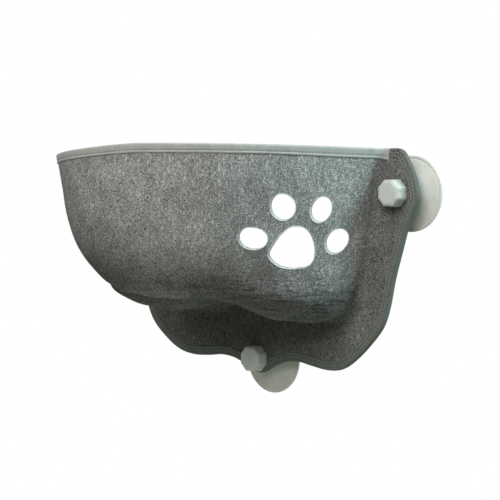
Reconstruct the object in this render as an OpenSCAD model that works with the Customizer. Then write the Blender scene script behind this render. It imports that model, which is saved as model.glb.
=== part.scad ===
// Window mounted cat perch: a moulded felt bowl with a flat felt flange, held on a
// window pane by three suction cups, each with a threaded stud and a screw-on knob.
// The origin is on the axis of the bottom stud, on the glass. X runs along the window,
// Y points into the glass and Z points up, so the bowl hangs out towards -Y.

/* [Suction cups] */
// Outer diameter of a suction cup on the glass
cup_d = 85; // [70:1:100]
// Height of a cup from the glass to the felt
cup_h = 22; // [18:1:30]
// Diameter of the neck that the felt rests on
cup_neck_d = 22; // [19:1:30]
// Thickness of the cup's outer edge
cup_edge_t = 2; // [1:0.5:3]
// Width of the flat lip that seals on the glass
cup_lip_w = 5; // [3:1:8]
// Depth of the hollow behind the lip once the cup is pressed on
cup_hollow = 3.5; // [1:0.5:3.5]

/* [Studs, washers and knobs] */
// Thread diameter of the studs
stud_d = 10; // [6:0.5:12]
// Diameter of the stud head that is moulded into the cup
stud_head_d = 16; // [14:0.5:18]
// Thickness of the stud head
stud_head_t = 3; // [2:0.5:4]
// Length of stud inside a tightened knob
stud_grip = 10; // [8:0.5:12]
// Diameter of the washer under a knob
washer_d = 24; // [20:1:28]
// Thickness of the washer
washer_t = 1.2; // [1.1:0.1:2]
// Diameter of a knob over its lobes
knob_d = 31; // [28:1:40]
// Depth of a knob along its axis
knob_h = 15.5; // [13:0.5:20]
// Number of lobes round a knob
knob_lobes = 8; // [6:1:10]

/* [Felt] */
// Thickness of the felt
felt_t = 5; // [3:0.5:6]
// Radius of the bend from bowl to flange
bend_r = 9; // [6:0.5:12]
// Width of the binding tape on each side of the rim and of the flange's edge
tape_w = 9.5; // [7:0.5:12]
// Thickness of the binding tape
tape_t = 1; // [0.6:0.1:1]

/* [Bowl] */
// Width of the bowl over its rim
bowl_w = 376; // [340:2:420]
// Depth of the bowl in front of the bend
bowl_depth = 245; // [200:5:280]
// Height of the rim above the bottom stud
rim_z = 243.5; // [230:0.5:260]
// Height of the raised middle of the base
base_z = 79.5; // [75:0.5:90]
// Drop of the two rounded lobes of the base
lobe_drop = 25; // [15:1:28]
// Bulge of the sides just above the base
cheek = 16; // [8:1:16]

/* [Flange] */
// Height of the upper studs above the bottom stud
stud_z = 195; // [185:1:205]
// Distance of the upper studs outside the bowl's side
stud_out = 19; // [18:1:30]
// Width of an ear outside its stud
ear_w = 29; // [24:1:36]

/* [Paw cut-out] */
// Distance of the cut-out's middle to the right of the bottom stud
paw_x = 154; // [145:1:158]
// Distance of the cut-out's middle in front of the glass
paw_y = 134.6; // [125:1:145]
// Height of the cut-out's middle
paw_z = 144; // [138:1:150]
// Width of the main pad
pad_w = 43; // [36:1:46]
// Height of the main pad
pad_h = 49; // [40:1:50]
// Mean length of a toe
toe_l = 29; // [22:1:31]

/* [Hidden] */
$fn = 96;

// Clearances: stud in knob, stud in washer, stud in felt, and past the end of a bore
knob_fit = 0.05;
washer_fit = 0.25;
felt_fit = 0.5;
end_gap = 0.8;
// Overrun of every cut past the face that it opens
over = 1;

// Planes across the thickness, as distances in front of the glass
felt_back = cup_h;
felt_front = cup_h + felt_t;
knob_back = felt_front + washer_t;
stud_tip = knob_back + stud_grip;
stud_foot = felt_back - cup_neck_d / 2 - stud_head_t;

// Stud axes on the glass, as x and z
stud_x = bowl_w / 2 + stud_out;
spot_right = [stud_x, stud_z];
spot_left = [-stud_x, stud_z];
spot_bottom = [0, 0];

// The bowl is a stack of level curves that shrink from the rim to the middle of the
// bend under the bowl. Each curve is half a superellipse with plan_power, and the wall's
// section is a superellipse with section_out and section_down.
plan_power = 2.4;
section_out = 6;
section_down = 4;
side_taper_share = 0.17;
front_taper_share = 0.09;
nose_taper_share = 0.04;
// Where the base turns from plain in front to lobed at the back, as shares of the depth
lobe_front_share = 0.65;
lobe_back_share = 0.18;
// Middle and spread of the lobes across the bowl, as shares of its half width
lobe_at_share = 0.436;
lobe_spread_share = 0.245;
// Middle and spread of the cheeks along the depth, as shares of the depth, and their
// spread up the wall as a share of the bowl's height
cheek_at_share = 0.445;
cheek_spread_share = 0.163;
cheek_rise_share = 0.092;
cheek_fade_share = 0.37;

// Rows of the bowl's grid: down the wall as shares of its height, then across the base
// as shares of the full curve. Columns run along a level curve and across each bend. The
// second row is the lower edge of the rim's tape.
tape_share = tape_w / (rim_z - base_z);
wall_share = [0, tape_share, 0.15, 0.27, 0.39, 0.5, 0.6, 0.69, 0.77, 0.84, 0.9];
base_share = [0.79, 0.73, 0.65, 0.56, 0.46, 0.35, 0.23, 0.11, 0];
plan_steps = 32;
bend_steps = 3;
wall_rows = len(wall_share);
rows = wall_rows + len(base_share);
cols = plan_steps + 1 + 2 * bend_steps;

half_w = bowl_w / 2;
bend_y = felt_front + bend_r;
bowl_h = rim_z - base_z;

function smooth(v) = let (c = min(1, max(0, v))) c * c * (3 - 2 * c);
function signed_pow(v, p) = sign(v) * pow(abs(v), p);
function unit(v) = v / norm(v);

// Reach (out) and drop (down) of the wall's section, one worked out from the other
function reach_at(drop) = pow(1 - pow(drop, section_down), 1 / section_out);
function drop_at(reach) = pow(1 - pow(reach, section_out), 1 / section_down);

// Height of the underside at a point of the plan
function base_at(x, depth) =
    let (back = 1 - smooth((depth / bowl_depth - lobe_back_share)
                           / (lobe_front_share - lobe_back_share)),
         off = max(0, lobe_at_share - abs(x) / half_w) / lobe_spread_share)
    base_z - lobe_drop * back * exp(-off * off);

// Outward push of the cheeks at a height and depth
function cheek_at(x, depth, z) =
    let (up = (z - base_z) / (bowl_h * cheek_rise_share),
         along = (depth / bowl_depth - cheek_at_share) / cheek_spread_share)
    sign(x) * cheek * exp(-up * up - along * along)
    * smooth(abs(x) / (half_w * cheek_fade_share));

// Point of the bowl's outer skin for a reach share, a drop share and a plan angle
function skin(reach, drop, a) =
    let (u = signed_pow(cos(a), 2 / plan_power),
         v = pow(sin(a), 2 / plan_power),
         x = half_w * (1 - side_taper_share * drop) * reach * u
             * (1 - nose_taper_share * v),
         depth = bowl_depth * (1 - front_taper_share * drop) * reach * v,
         z = rim_z - drop * (rim_z - base_at(x, depth)))
    [x + cheek_at(x, depth, z), -bend_y - depth, z];

function plan_angle(j) = 180 * min(plan_steps, max(0, j - bend_steps)) / plan_steps;
function row_point(i, j) =
    i < wall_rows ? skin(reach_at(wall_share[i]), wall_share[i], plan_angle(j))
                  : skin(base_share[i - wall_rows], drop_at(base_share[i - wall_rows]),
                         plan_angle(j));

// Direction away from the bowl, in the plane of the window, at the end of a row
function edge_out(i, side) =
    i == 0 ? [side, 0, 0] :
    i >= rows - 1 ? [0, 0, -1] :
    let (j = side > 0 ? bend_steps : cols - 1 - bend_steps,
         run = row_point(i + 1, j) - row_point(i - 1, j))
    unit([-side * run[2], 0, side * run[0]]);

// Bend angle of a column: zero on the bowl, 90 at the flange
function bend_angle(j) =
    j < bend_steps ? 90 * (bend_steps - j) / bend_steps :
    j > cols - 1 - bend_steps ? 90 * (j - (cols - 1 - bend_steps)) / bend_steps : 0;

function grid_point(i, j) =
    let (b = bend_angle(j), side = 2 * j < cols ? 1 : -1)
    row_point(i, j) + (b == 0 ? [0, 0, 0] :
        bend_r * (1 - cos(b)) * edge_out(i, side) + [0, bend_r * sin(b), 0]);

skin_grid = [for (i = [0:rows - 1]) [for (j = [0:cols - 1]) grid_point(i, j)]];

// Outward normal of the skin; level at the rim, square to the glass at the flange
function skin_normal(i, j) =
    bend_angle(j) == 90 ? [0, -1, 0] :
    let (b = bend_angle(j), side = 2 * j < cols ? 1 : -1)
    b > 0 ? cos(b) * edge_out(i, side) + [0, -sin(b), 0] :
    i == rows - 1 ? [0, 0, -1] :
    j == bend_steps || j == cols - 1 - bend_steps ? edge_out(i, side) :
    let (down = skin_grid[min(rows - 1, i + 1)][j] - skin_grid[max(0, i - 1)][j],
         along = skin_grid[i][j + 1] - skin_grid[i][j - 1],
         n = unit(cross(along, down)))
    i == 0 ? unit([n[0], n[1], 0]) : n;

lining_grid = [for (i = [0:rows - 1]) [for (j = [0:cols - 1])
    skin_grid[i][j] - felt_t * skin_normal(i, j)]];

// Index of a grid point; the last row closes on the middle of the bend
function mirrored_col(j) = min(j, cols - 1 - j);
function col_index(i, j) = i < rows - 1 ? j : min(bend_steps, mirrored_col(j));
function skin_index(i, j) = i * cols + col_index(i, j);
function lining_index(i, j) = rows * cols + skin_index(i, j);

// Two triangles of a grid cell, without the ones that have no area
function cell(a, b, c, d) = [for (f = [[a, c, b], [a, d, c]])
    if (f[0] != f[1] && f[1] != f[2] && f[0] != f[2]) f];

skin_faces = [for (i = [0:rows - 2]) for (j = [0:cols - 2])
    each cell(skin_index(i, j), skin_index(i, j + 1),
              skin_index(i + 1, j + 1), skin_index(i + 1, j))];
lining_faces = [for (i = [0:rows - 2]) for (j = [0:cols - 2])
    each cell(lining_index(i + 1, j), lining_index(i + 1, j + 1),
              lining_index(i, j + 1), lining_index(i, j))];
rim_faces = [for (j = [0:cols - 2])
    each cell(skin_index(0, j), lining_index(0, j),
              lining_index(0, j + 1), skin_index(0, j + 1))];
end_faces = [for (i = [0:rows - 2]) each concat(
    cell(skin_index(i, 0), skin_index(i + 1, 0),
         lining_index(i + 1, 0), lining_index(i, 0)),
    cell(skin_index(i, cols - 1), lining_index(i, cols - 1),
         lining_index(i + 1, cols - 1), skin_index(i + 1, cols - 1)))];

// Paw cut-out: a main pad and four toes, punched along one direction. The plane of the
// punch has its origin at the middle of the paw, with u to the right and v up.
punch_turn = 27;
punch_tilt = -15;
punch_reach = half_w * 0.4;
// Outline of the main pad as shares of its half width and half height
pad_share = [[0.16, 1], [0.55, 0.83], [0.84, 0.42], [0.97, -0.06], [0.98, -0.5],
             [0.78, -0.84], [0.4, -1], [-0.1, -1], [-0.55, -0.85], [-0.87, -0.62],
             [-1, -0.28], [-0.95, -0.02], [-0.75, 0.32], [-0.38, 0.75], [-0.1, 0.97]];
pad_place_share = [-0.1, -0.2];
// Each toe: place as shares of the pad's width and height, then its length and width
// as shares of the mean toe, and the turn of its long axis from upright
toe_share = [[-0.86, 0.19, 1, 0.84, -58], [-0.19, 0.78, 1.06, 0.8, -12],
             [0.57, 0.54, 1.05, 0.66, 5], [0.83, -0.28, 0.99, 0.7, 3]];
toe_steps = 20;

module pad_shape() {
    translate([pad_place_share[0] * pad_w, pad_place_share[1] * pad_h])
        polygon([for (p = pad_share) [p[0] * pad_w / 2, p[1] * pad_h / 2]]);
}

module toe_shape(toe) {
    translate([toe[0] * pad_w, toe[1] * pad_h])
        rotate(-toe[4])
            polygon([for (k = [0:toe_steps - 1])
                let (a = 360 * k / toe_steps)
                [cos(a) * toe[3] * toe_l / 2, sin(a) * toe[2] * toe_l / 2]]);
}

module punch() {
    translate([paw_x, -paw_y, paw_z])
        rotate([90 - punch_tilt, 0, punch_turn])
            translate([0, 0, -punch_reach])
                linear_extrude(2 * punch_reach) {
                    pad_shape();
                    for (toe = toe_share) toe_shape(toe);
                }
}

module felt_bowl() {
    color("#86867f")
        difference() {
            polyhedron(
                points = concat([for (row = skin_grid) each row],
                                [for (row = lining_grid) each row]),
                faces = concat(skin_faces, lining_faces, rim_faces, end_faces));
            punch();
        }
}

// Places a flat shape drawn in x and z between two distances in front of the glass
module plate(from, to) {
    translate([0, -from, 0])
        rotate([90, 0, 0])
            linear_extrude(to - from)
                children();
}

// Outline of the right half of the flange, from the ear's inner corner down to the
// bottom lobe, as shares of the flange's half width and of the rim's height
flange_half_w = stud_x + ear_w;
flange_share = [[0.87, 1], [0.9, 0.993], [0.925, 0.968], [0.955, 0.92], [0.983, 0.862],
                [1, 0.784],
                [0.98, 0.731], [0.937, 0.649], [0.903, 0.546], [0.86, 0.41],
                [0.832, 0.287], [0.797, 0.197], [0.73, 0.119], [0.636, 0.037],
                [0.55, -0.012], [0.458, -0.023], [0.356, -0.01], [0.263, 0.004],
                [0.178, -0.004], [0.102, -0.03], [0.055, -0.056]];
bottom_lobe_share = -0.067;
curve_steps = 3;

function place(share) = [share[0] * flange_half_w, share[1] * rim_z];
function side_points(s) = [for (p = flange_share) place([s * p[0], p[1]])];
function reversed(list) = [for (k = [len(list) - 1:-1:0]) list[k]];

// Smooth curve through a list of points
function curve_point(p, k, t) =
    let (a = p[max(0, k - 1)], b = p[k], c = p[k + 1], d = p[min(len(p) - 1, k + 2)])
    (2 * b + (c - a) * t + (2 * a - 5 * b + 4 * c - d) * t * t
     + (3 * b - a - 3 * c + d) * t * t * t) / 2;
function curve(p) = [for (k = [0:len(p) - 2]) for (s = [0:curve_steps - 1])
    curve_point(p, k, s / curve_steps)];

// Inner corner of an ear, where the bend of the bowl ends
ear_start = half_w + bend_r;
right_curve = side_points(1);
whole_curve = concat(right_curve, [place([0, bottom_lobe_share])],
                     reversed(side_points(-1)));
hem_path = concat([[ear_start, rim_z]], curve(whole_curve),
                  [place([-flange_share[0][0], flange_share[0][1]]), [-ear_start, rim_z]]);

// Edge of the bowl in the flange's plane, from the right over the base to the left
bowl_edge = concat([for (i = [1:rows - 1]) let (p = skin_grid[i][0]) [p[0], p[2]]],
                   [for (i = [rows - 2:-1:1]) let (p = skin_grid[i][cols - 1]) [p[0], p[2]]]);

module at_spot(spot) {
    translate([spot[0], 0, spot[1]])
        rotate([90, 0, 0])
            children();
}

module felt_flange() {
    color("#75766f")
        difference() {
            plate(felt_back, felt_front)
                polygon(concat(hem_path, reversed(bowl_edge)));
            for (spot = [spot_right, spot_left, spot_bottom])
                at_spot(spot)
                    translate([0, 0, felt_back - over])
                        cylinder(h = felt_t + 2 * over, r = stud_d / 2 + felt_fit);
        }
}

// Tape folded over the rim of the bowl, down to tape_w on both sides
function tape_section(j) =
    let (top = skin_grid[0][j], top_in = lining_grid[0][j], n = skin_normal(0, j),
         low = skin_grid[1][j], low_in = lining_grid[1][j], m = skin_normal(1, j),
         up = [0, 0, tape_t])
    [low, low + tape_t * m, top + tape_t * n, top + tape_t / 2 * n + up,
     top_in - tape_t / 2 * n + up, top_in - tape_t * n,
     low_in - tape_t * m, low_in, top_in, top];
tape_points = [for (j = [0:cols - 1]) each tape_section(j)];
tape_sides = len(tape_section(0));
tape_cap = [[0, 1, 2], [0, 2, 9], [9, 2, 3], [9, 3, 4], [9, 4, 8], [8, 4, 5], [8, 5, 6],
            [8, 6, 7]];
tape_faces = concat(
    [for (j = [0:cols - 2]) for (s = [0:tape_sides - 1])
        let (s2 = (s + 1) % tape_sides, a = j * tape_sides, b = a + tape_sides)
        each cell(a + s, a + s2, b + s2, b + s)],
    [for (f = tape_cap) f],
    [for (f = tape_cap) [for (s = reversed(f)) s + (cols - 1) * tape_sides]]);

module rim_binding() {
    color("#a3a49f")
        polyhedron(points = tape_points, faces = tape_faces);
}

// Band along the flange's outline, between a line outside it and a line inside it. It
// stops at the inner corners of the ears, where the tape of the rim begins.
module hem_band(outside, inside) {
    difference() {
        offset(delta = outside) polygon(hem_path);
        offset(delta = -inside) polygon(hem_path);
        translate([-ear_start, rim_z - inside - over])
            square([2 * ear_start, inside + outside + 2 * over]);
    }
}

module flange_edging() {
    color("#8d9089")
        difference() {
            union() {
                plate(felt_back - tape_t, felt_back) hem_band(tape_t, tape_w);
                plate(felt_back, felt_front) hem_band(tape_t, 0);
                plate(felt_front, felt_front + tape_t) hem_band(tape_t, tape_w);
            }
            for (spot = [spot_right, spot_left, spot_bottom])
                at_spot(spot)
                    translate([0, 0, felt_back - tape_t - over])
                        cylinder(h = felt_t + 2 * (tape_t + over),
                                 r = washer_d / 2 + felt_fit);
        }
}

// Cup: a shallow dome with a thick neck, hollow behind the lip, moulded round the stud
dome_rise_share = 0.55;
dome_steps = 10;
cup_wall_rise = (cup_h - cup_hollow) * dome_rise_share;

function dome_height(t) =
    cup_edge_t + cup_wall_rise * pow(sin(90 * t), 2);
dome_profile = [for (k = [0:dome_steps])
    let (t = k / dome_steps)
    [cup_d / 2 + (cup_neck_d / 2 - cup_d / 2) * t, dome_height(t)]];

module cup(spot) {
    color("#bcc1ba")
        at_spot(spot)
            difference() {
                rotate_extrude()
                    polygon(concat([[0, 0], [cup_d / 2, 0]], dome_profile,
                                   [[cup_neck_d / 2, cup_h], [0, cup_h]]));
                translate([0, 0, -over])
                    cylinder(h = cup_hollow / 2 + over, r = cup_d / 2 - cup_lip_w);
                cylinder(h = cup_hollow, r = cup_d / 2 - 2 * cup_lip_w);
                translate([0, 0, stud_foot])
                    cylinder(h = stud_head_t, r = stud_head_d / 2);
                translate([0, 0, stud_foot])
                    cylinder(h = cup_h - stud_foot + over, r = stud_d / 2);
            }
}

module stud(spot) {
    color("#c9cdc6")
        at_spot(spot)
            translate([0, 0, stud_foot]) {
                cylinder(h = stud_head_t, r = stud_head_d / 2);
                cylinder(h = stud_tip - stud_foot, r = stud_d / 2);
            }
}

module washer(spot) {
    color("#d5d7d2")
        at_spot(spot)
            translate([0, 0, felt_front])
                difference() {
                    cylinder(h = washer_t, r = washer_d / 2);
                    translate([0, 0, -over])
                        cylinder(h = washer_t + 2 * over, r = stud_d / 2 + washer_fit);
                }
}

// Knob: a core with lobes round it, its front edge chamfered, and a blind bore
lobe_r = knob_d * 0.18;
core_r = knob_d * 0.455;
knob_edge = knob_h * 0.12;

module knob(spot) {
    color("#dfe2da")
        at_spot(spot)
            translate([0, 0, knob_back])
                difference() {
                    intersection() {
                        union() {
                            cylinder(h = knob_h, r = core_r);
                            for (k = [0:knob_lobes - 1])
                                rotate(360 * k / knob_lobes)
                                    translate([knob_d / 2 - lobe_r, 0, 0])
                                        cylinder(h = knob_h, r = lobe_r);
                        }
                        rotate_extrude()
                            polygon([[0, 0], [knob_d / 2, 0],
                                     [knob_d / 2, knob_h - knob_edge],
                                     [knob_d / 2 - knob_edge, knob_h], [0, knob_h]]);
                    }
                    translate([0, 0, -over])
                        cylinder(h = stud_grip + end_gap + over,
                                 r = stud_d / 2 + knob_fit);
                }
}

felt_bowl();
felt_flange();
rim_binding();
flange_edging();
cup(spot_right);  // suction_cup_right
cup(spot_left);  // suction_cup_left
cup(spot_bottom);  // suction_cup_bottom
stud(spot_right);  // stud_right
stud(spot_left);  // stud_left
stud(spot_bottom);  // stud_bottom
washer(spot_right);  // washer_right
washer(spot_left);  // washer_left
washer(spot_bottom);  // washer_bottom
knob(spot_right);  // knob_right
knob(spot_left);  // knob_left
knob(spot_bottom);  // knob_bottom
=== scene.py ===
"""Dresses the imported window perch: heathered felt, stitched tapes, cups and knobs.

Sizes are millimetres in the frame of the CAD and become metres when a mesh is made.
"""
import math

import bmesh
import bpy
import numpy as np
from mathutils import Matrix, Vector
from mathutils.bvhtree import BVHTree
from mathutils.geometry import delaunay_2d_cdt


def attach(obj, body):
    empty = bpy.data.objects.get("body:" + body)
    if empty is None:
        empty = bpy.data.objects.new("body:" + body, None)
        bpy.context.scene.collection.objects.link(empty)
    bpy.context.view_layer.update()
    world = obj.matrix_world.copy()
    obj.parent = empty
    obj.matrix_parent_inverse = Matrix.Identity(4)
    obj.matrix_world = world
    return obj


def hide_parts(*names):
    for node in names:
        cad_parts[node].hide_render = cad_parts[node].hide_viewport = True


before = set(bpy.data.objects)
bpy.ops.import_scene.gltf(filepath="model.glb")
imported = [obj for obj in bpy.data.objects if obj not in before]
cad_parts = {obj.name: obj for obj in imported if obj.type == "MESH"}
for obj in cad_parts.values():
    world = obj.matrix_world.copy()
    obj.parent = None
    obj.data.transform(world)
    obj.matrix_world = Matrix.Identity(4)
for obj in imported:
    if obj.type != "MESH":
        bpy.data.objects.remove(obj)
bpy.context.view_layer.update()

MM = 0.001

# Sizes of the perch
FELT_BACK, FELT_T = 22.0, 5.0
FELT_FRONT = FELT_BACK + FELT_T
BEND_R = 9.0
BEND_Y = FELT_FRONT + BEND_R
HALF_W, BOWL_DEPTH = 188.0, 245.0
RIM_Z, BASE_Z = 243.5, 79.5
LOBE_DROP, CHEEK = 25.0, 16.0
STUD_X, STUD_Z, EAR_W = 207.0, 195.0, 29.0
SPOTS = {"right": (STUD_X, STUD_Z), "left": (-STUD_X, STUD_Z), "bottom": (0.0, 0.0)}
STUD_R = 5.0
WASHER_T, WASHER_R = 1.2, 12.0
KNOB_BACK = FELT_FRONT + WASHER_T
KNOB_R, KNOB_H, KNOB_LOBES = 15.5, 15.5, 8
STUD_TIP = KNOB_BACK + 10.0
STUD_FOOT = 8.0
CUP_H, CUP_NECK_R = 22.0, 11.0
FLANGE_HALF_W = STUD_X + EAR_W


# Small helpers
def srgb(r, g, b):
    """Linear colour of an 8-bit screen colour."""
    def linear(v):
        v /= 255
        return v / 12.92 if v <= 0.04045 else ((v + 0.055) / 1.055) ** 2.4
    return (linear(r), linear(g), linear(b), 1.0)


def finish_mesh(name, points, faces, materials, crease=35, slots=None):
    """A mesh object from points in millimetres, smooth but for edges over crease."""
    mesh = bpy.data.meshes.new(name)
    mesh.from_pydata([tuple(p) for p in np.asarray(points, float) * MM], [],
                     [tuple(int(i) for i in f) for f in faces])
    for material in materials:
        mesh.materials.append(material)
    if slots is not None:
        mesh.polygons.foreach_set("material_index", np.asarray(slots, np.int32))
    mesh.validate()
    smooth_mesh(mesh, crease)
    piece = bpy.data.objects.new(name, mesh)
    bpy.context.collection.objects.link(piece)
    return piece


def smooth_mesh(mesh, crease):
    mesh.polygons.foreach_set("use_smooth", np.ones(len(mesh.polygons), bool))
    mesh.set_sharp_from_angle(angle=math.radians(crease))
    mesh.update()


def grid_faces(rows, cols, wrap_rows=False, wrap_cols=False, start=0):
    """Quads of a rows by cols grid of points."""
    faces = []
    for i in range(rows if wrap_rows else rows - 1):
        for j in range(cols if wrap_cols else cols - 1):
            i2, j2 = (i + 1) % rows, (j + 1) % cols
            faces.append((start + i * cols + j, start + i * cols + j2,
                          start + i2 * cols + j2, start + i2 * cols + j))
    return faces


def dress(piece, body, slot, *nodes):
    """Puts a finished piece on its body, in place of the CAD nodes that it stands for."""
    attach(piece, body)
    if nodes:
        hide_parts(*nodes)
    return piece


# Materials
def add(tree, kind, inputs=None, **props):
    """A node with its settings, its inputs linked or set."""
    made = tree.nodes.new(kind)
    for key, value in props.items():
        setattr(made, key, value)
    for key, value in (inputs or {}).items():
        socket = made.inputs[key]
        if isinstance(value, bpy.types.NodeSocket):
            tree.links.new(value, socket)
        else:
            socket.default_value = value
    return made


def maths(tree, operation, a, b=0.0, clamp=False):
    return add(tree, "ShaderNodeMath", {0: a, 1: b}, operation=operation,
               use_clamp=clamp).outputs[0]


def noise(tree, place, scale, detail, roughness):
    return add(tree, "ShaderNodeTexNoise", {"Vector": place, "Scale": scale, "Detail": detail,
                                            "Roughness": roughness}).outputs["Fac"]


def ramp(tree, value, low, high, to_low=0.0, to_high=1.0):
    """Soft step of a value between low and high."""
    return add(tree, "ShaderNodeMapRange", {"Value": value, "From Min": low, "From Max": high,
                                            "To Min": to_low, "To Max": to_high},
               interpolation_type="SMOOTHSTEP").outputs["Result"]


def mixed(tree, factor, a, b, blend="MIX"):
    return add(tree, "ShaderNodeMix", {0: factor, 6: a, 7: b}, data_type="RGBA",
               blend_type=blend).outputs[2]


def looked_at(tree):
    """1 where a ray comes from the camera, a reflection or a clear body, else 0."""
    rays = add(tree, "ShaderNodeLightPath").outputs
    return maths(tree, "MAXIMUM", rays["Is Camera Ray"],
                 maths(tree, "MAXIMUM", rays["Is Glossy Ray"], rays["Is Transmission Ray"]))


def new_group(name, inputs, outputs):
    """A shader group with named sockets; gives the tree, its inputs and its output node."""
    tree = bpy.data.node_groups.new(name, "ShaderNodeTree")
    kinds = {"colour": "NodeSocketColor", "value": "NodeSocketFloat",
             "vector": "NodeSocketVector"}
    for label, kind, value in inputs:
        socket = tree.interface.new_socket(label, in_out="INPUT", socket_type=kinds[kind])
        if value is not None:
            socket.default_value = value
    for label, kind in outputs:
        tree.interface.new_socket(label, in_out="OUTPUT", socket_type=kinds[kind])
    entry = tree.nodes.new("NodeGroupInput")
    leave = tree.nodes.new("NodeGroupOutput")
    return tree, entry.outputs, leave.inputs


def fibre_layer(tree, place, size, stretch, turn):
    """Noise drawn out along one direction, as felted fibres lie."""
    turned = add(tree, "ShaderNodeMapping", {"Vector": place, "Rotation": turn,
                                             "Scale": stretch}).outputs[0]
    return noise(tree, turned, size, 2.0, 0.6)


def build_fibre_group():
    """Heathered needle felt: pale and dark fibres and clumps over a ground that a point level of
    painted light and shade makes paler or darker, with fine creases where the felt was drawn over its
    mould."""
    tree, given, out = new_group(
        "felted fibres",
        [("Place", "vector", None), ("Fibre Scale", "value", 620.0),
         ("Ground", "colour", (0.2, 0.2, 0.2, 1)), ("Dark Fibre", "colour", (0.05, 0.05, 0.05, 1)),
         ("Pale Fibre", "colour", (0.5, 0.5, 0.5, 1)), ("Strength", "value", 1.0),
         ("Painted Light Shade", "value", 1.0), ("Crease", "value", 0.0)],
        [("Color", "colour"), ("Height", "value")])
    place, scale = given["Place"], given["Fibre Scale"]
    fibres = [fibre_layer(tree, place, scale, stretch, turn) for stretch, turn in (
        ((0.34, 1.0, 1.0), (0.4, 0.7, 0.3)), ((1.0, 0.36, 1.0), (0.9, 0.2, 1.1)),
        ((1.0, 1.0, 0.3), (0.15, 0.1, 0.8)))]
    specks = noise(tree, place, scale, 3.0, 0.7)
    tall = add(tree, "ShaderNodeMapping", {"Vector": place, "Scale": (1.0, 1.0, 0.4)}).outputs[0]
    clumps = noise(tree, tall, 260.0, 3.0, 0.6)
    mottle = noise(tree, place, 42.0, 3.0, 0.6)
    dark = maths(tree, "MAXIMUM", ramp(tree, fibres[0], 0.52, 0.67), ramp(tree, specks, 0.45, 0.31))
    pale = maths(tree, "MAXIMUM", ramp(tree, fibres[1], 0.54, 0.69), ramp(tree, fibres[2], 0.56, 0.7))
    dark = maths(tree, "MULTIPLY", dark, given["Strength"], clamp=True)
    pale = maths(tree, "MULTIPLY", pale, given["Strength"], clamp=True)
    tone = mixed(tree, dark, given["Ground"], given["Dark Fibre"])
    tone = mixed(tree, pale, tone, given["Pale Fibre"])
    level = maths(tree, "MULTIPLY", ramp(tree, mottle, 0.3, 0.7, 0.88, 1.1),
                  ramp(tree, clumps, 0.3, 0.7, 0.85, 1.14))
    lines = crease_lines(tree, place)
    # Painted shade: the crease lines darken the colour as well as lowering the relief.
    crease_and_shade = maths(tree, "MULTIPLY", lines, given["Crease"], clamp=True)
    level = maths(tree, "MULTIPLY", level, maths(tree, "SUBTRACT", 1.0,
                                                 maths(tree, "MULTIPLY", crease_and_shade, 0.42)))
    # Painted light and shade: the point level makes the felt paler where light falls and darker where
    # shade falls.
    level = maths(tree, "MULTIPLY", level, given["Painted Light Shade"])
    shade = add(tree, "ShaderNodeCombineColor", {0: level, 1: level, 2: level}).outputs[0]
    tree.links.new(mixed(tree, 1.0, tone, shade, "MULTIPLY"), out["Color"])
    height = maths(tree, "ADD", maths(tree, "MULTIPLY", specks, 0.5),
                   maths(tree, "MULTIPLY", fibres[1], 0.5))
    tree.links.new(maths(tree, "SUBTRACT", height, maths(tree, "MULTIPLY", crease_and_shade, 1.2)),
                   out["Height"])
    return tree


def crease_lines(tree, place):
    """Thin level lines that wander and break off, as in cloth that is drawn tight."""
    drift = add(tree, "ShaderNodeTexNoise", {"Vector": place, "Scale": 24.0,
                                             "Detail": 2.0}).outputs["Fac"]
    parts = add(tree, "ShaderNodeSeparateXYZ", {0: place}).outputs
    lifted = maths(tree, "ADD", parts["Z"], maths(tree, "MULTIPLY", drift, 0.014))
    flat = add(tree, "ShaderNodeCombineXYZ", {
        "X": maths(tree, "MULTIPLY", parts["X"], 28.0), "Y": maths(tree, "MULTIPLY", parts["Y"], 28.0),
        "Z": maths(tree, "MULTIPLY", lifted, 330.0)}).outputs[0]
    lines = noise(tree, flat, 1.0, 2.0, 0.55)
    return ramp(tree, lines, 0.5, 0.68)


def build_weave_group():
    """Close ribbed tape: fine yarns across the tape and a soft mottle."""
    tree, given, out = new_group(
        "tape weave",
        [("Place", "vector", None), ("Yarns", "value", 900.0),
         ("Tape", "colour", (0.4, 0.4, 0.4, 1)), ("Gap", "colour", (0.2, 0.2, 0.2, 1)),
         ("Strength", "value", 1.0)],
        [("Color", "colour"), ("Height", "value")])
    yarns = noise(tree, given["Place"], given["Yarns"], 2.0, 0.5)
    mottle = noise(tree, given["Place"], 95.0, 3.0, 0.65)
    gap = maths(tree, "MULTIPLY", ramp(tree, yarns, 0.52, 0.34), given["Strength"], clamp=True)
    worn = maths(tree, "MULTIPLY", ramp(tree, mottle, 0.6, 0.35), 0.45)
    tone = mixed(tree, maths(tree, "MAXIMUM", gap, worn), given["Tape"], given["Gap"])
    tree.links.new(tone, out["Color"])
    tree.links.new(yarns, out["Height"])
    return tree


def build_moulding_group():
    """Moulded plastic and vinyl: cloudy tone, fine grain and small handling marks."""
    tree, given, out = new_group(
        "moulded grain",
        [("Place", "vector", None), ("Grain Scale", "value", 900.0),
         ("Body", "colour", (0.6, 0.6, 0.6, 1)), ("Cloud", "colour", (0.5, 0.5, 0.5, 1)),
         ("Gloss", "value", 0.4)],
        [("Color", "colour"), ("Roughness", "value"), ("Height", "value")])
    cloud = noise(tree, given["Place"], 38.0, 3.0, 0.55)
    grain = noise(tree, given["Place"], given["Grain Scale"], 2.0, 0.5)
    tone = mixed(tree, ramp(tree, cloud, 0.35, 0.7), given["Body"], given["Cloud"])
    tree.links.new(tone, out["Color"])
    rough = maths(tree, "ADD", given["Gloss"], ramp(tree, grain, 0.3, 0.7, -0.06, 0.08))
    tree.links.new(rough, out["Roughness"])
    tree.links.new(grain, out["Height"])
    return tree


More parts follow.
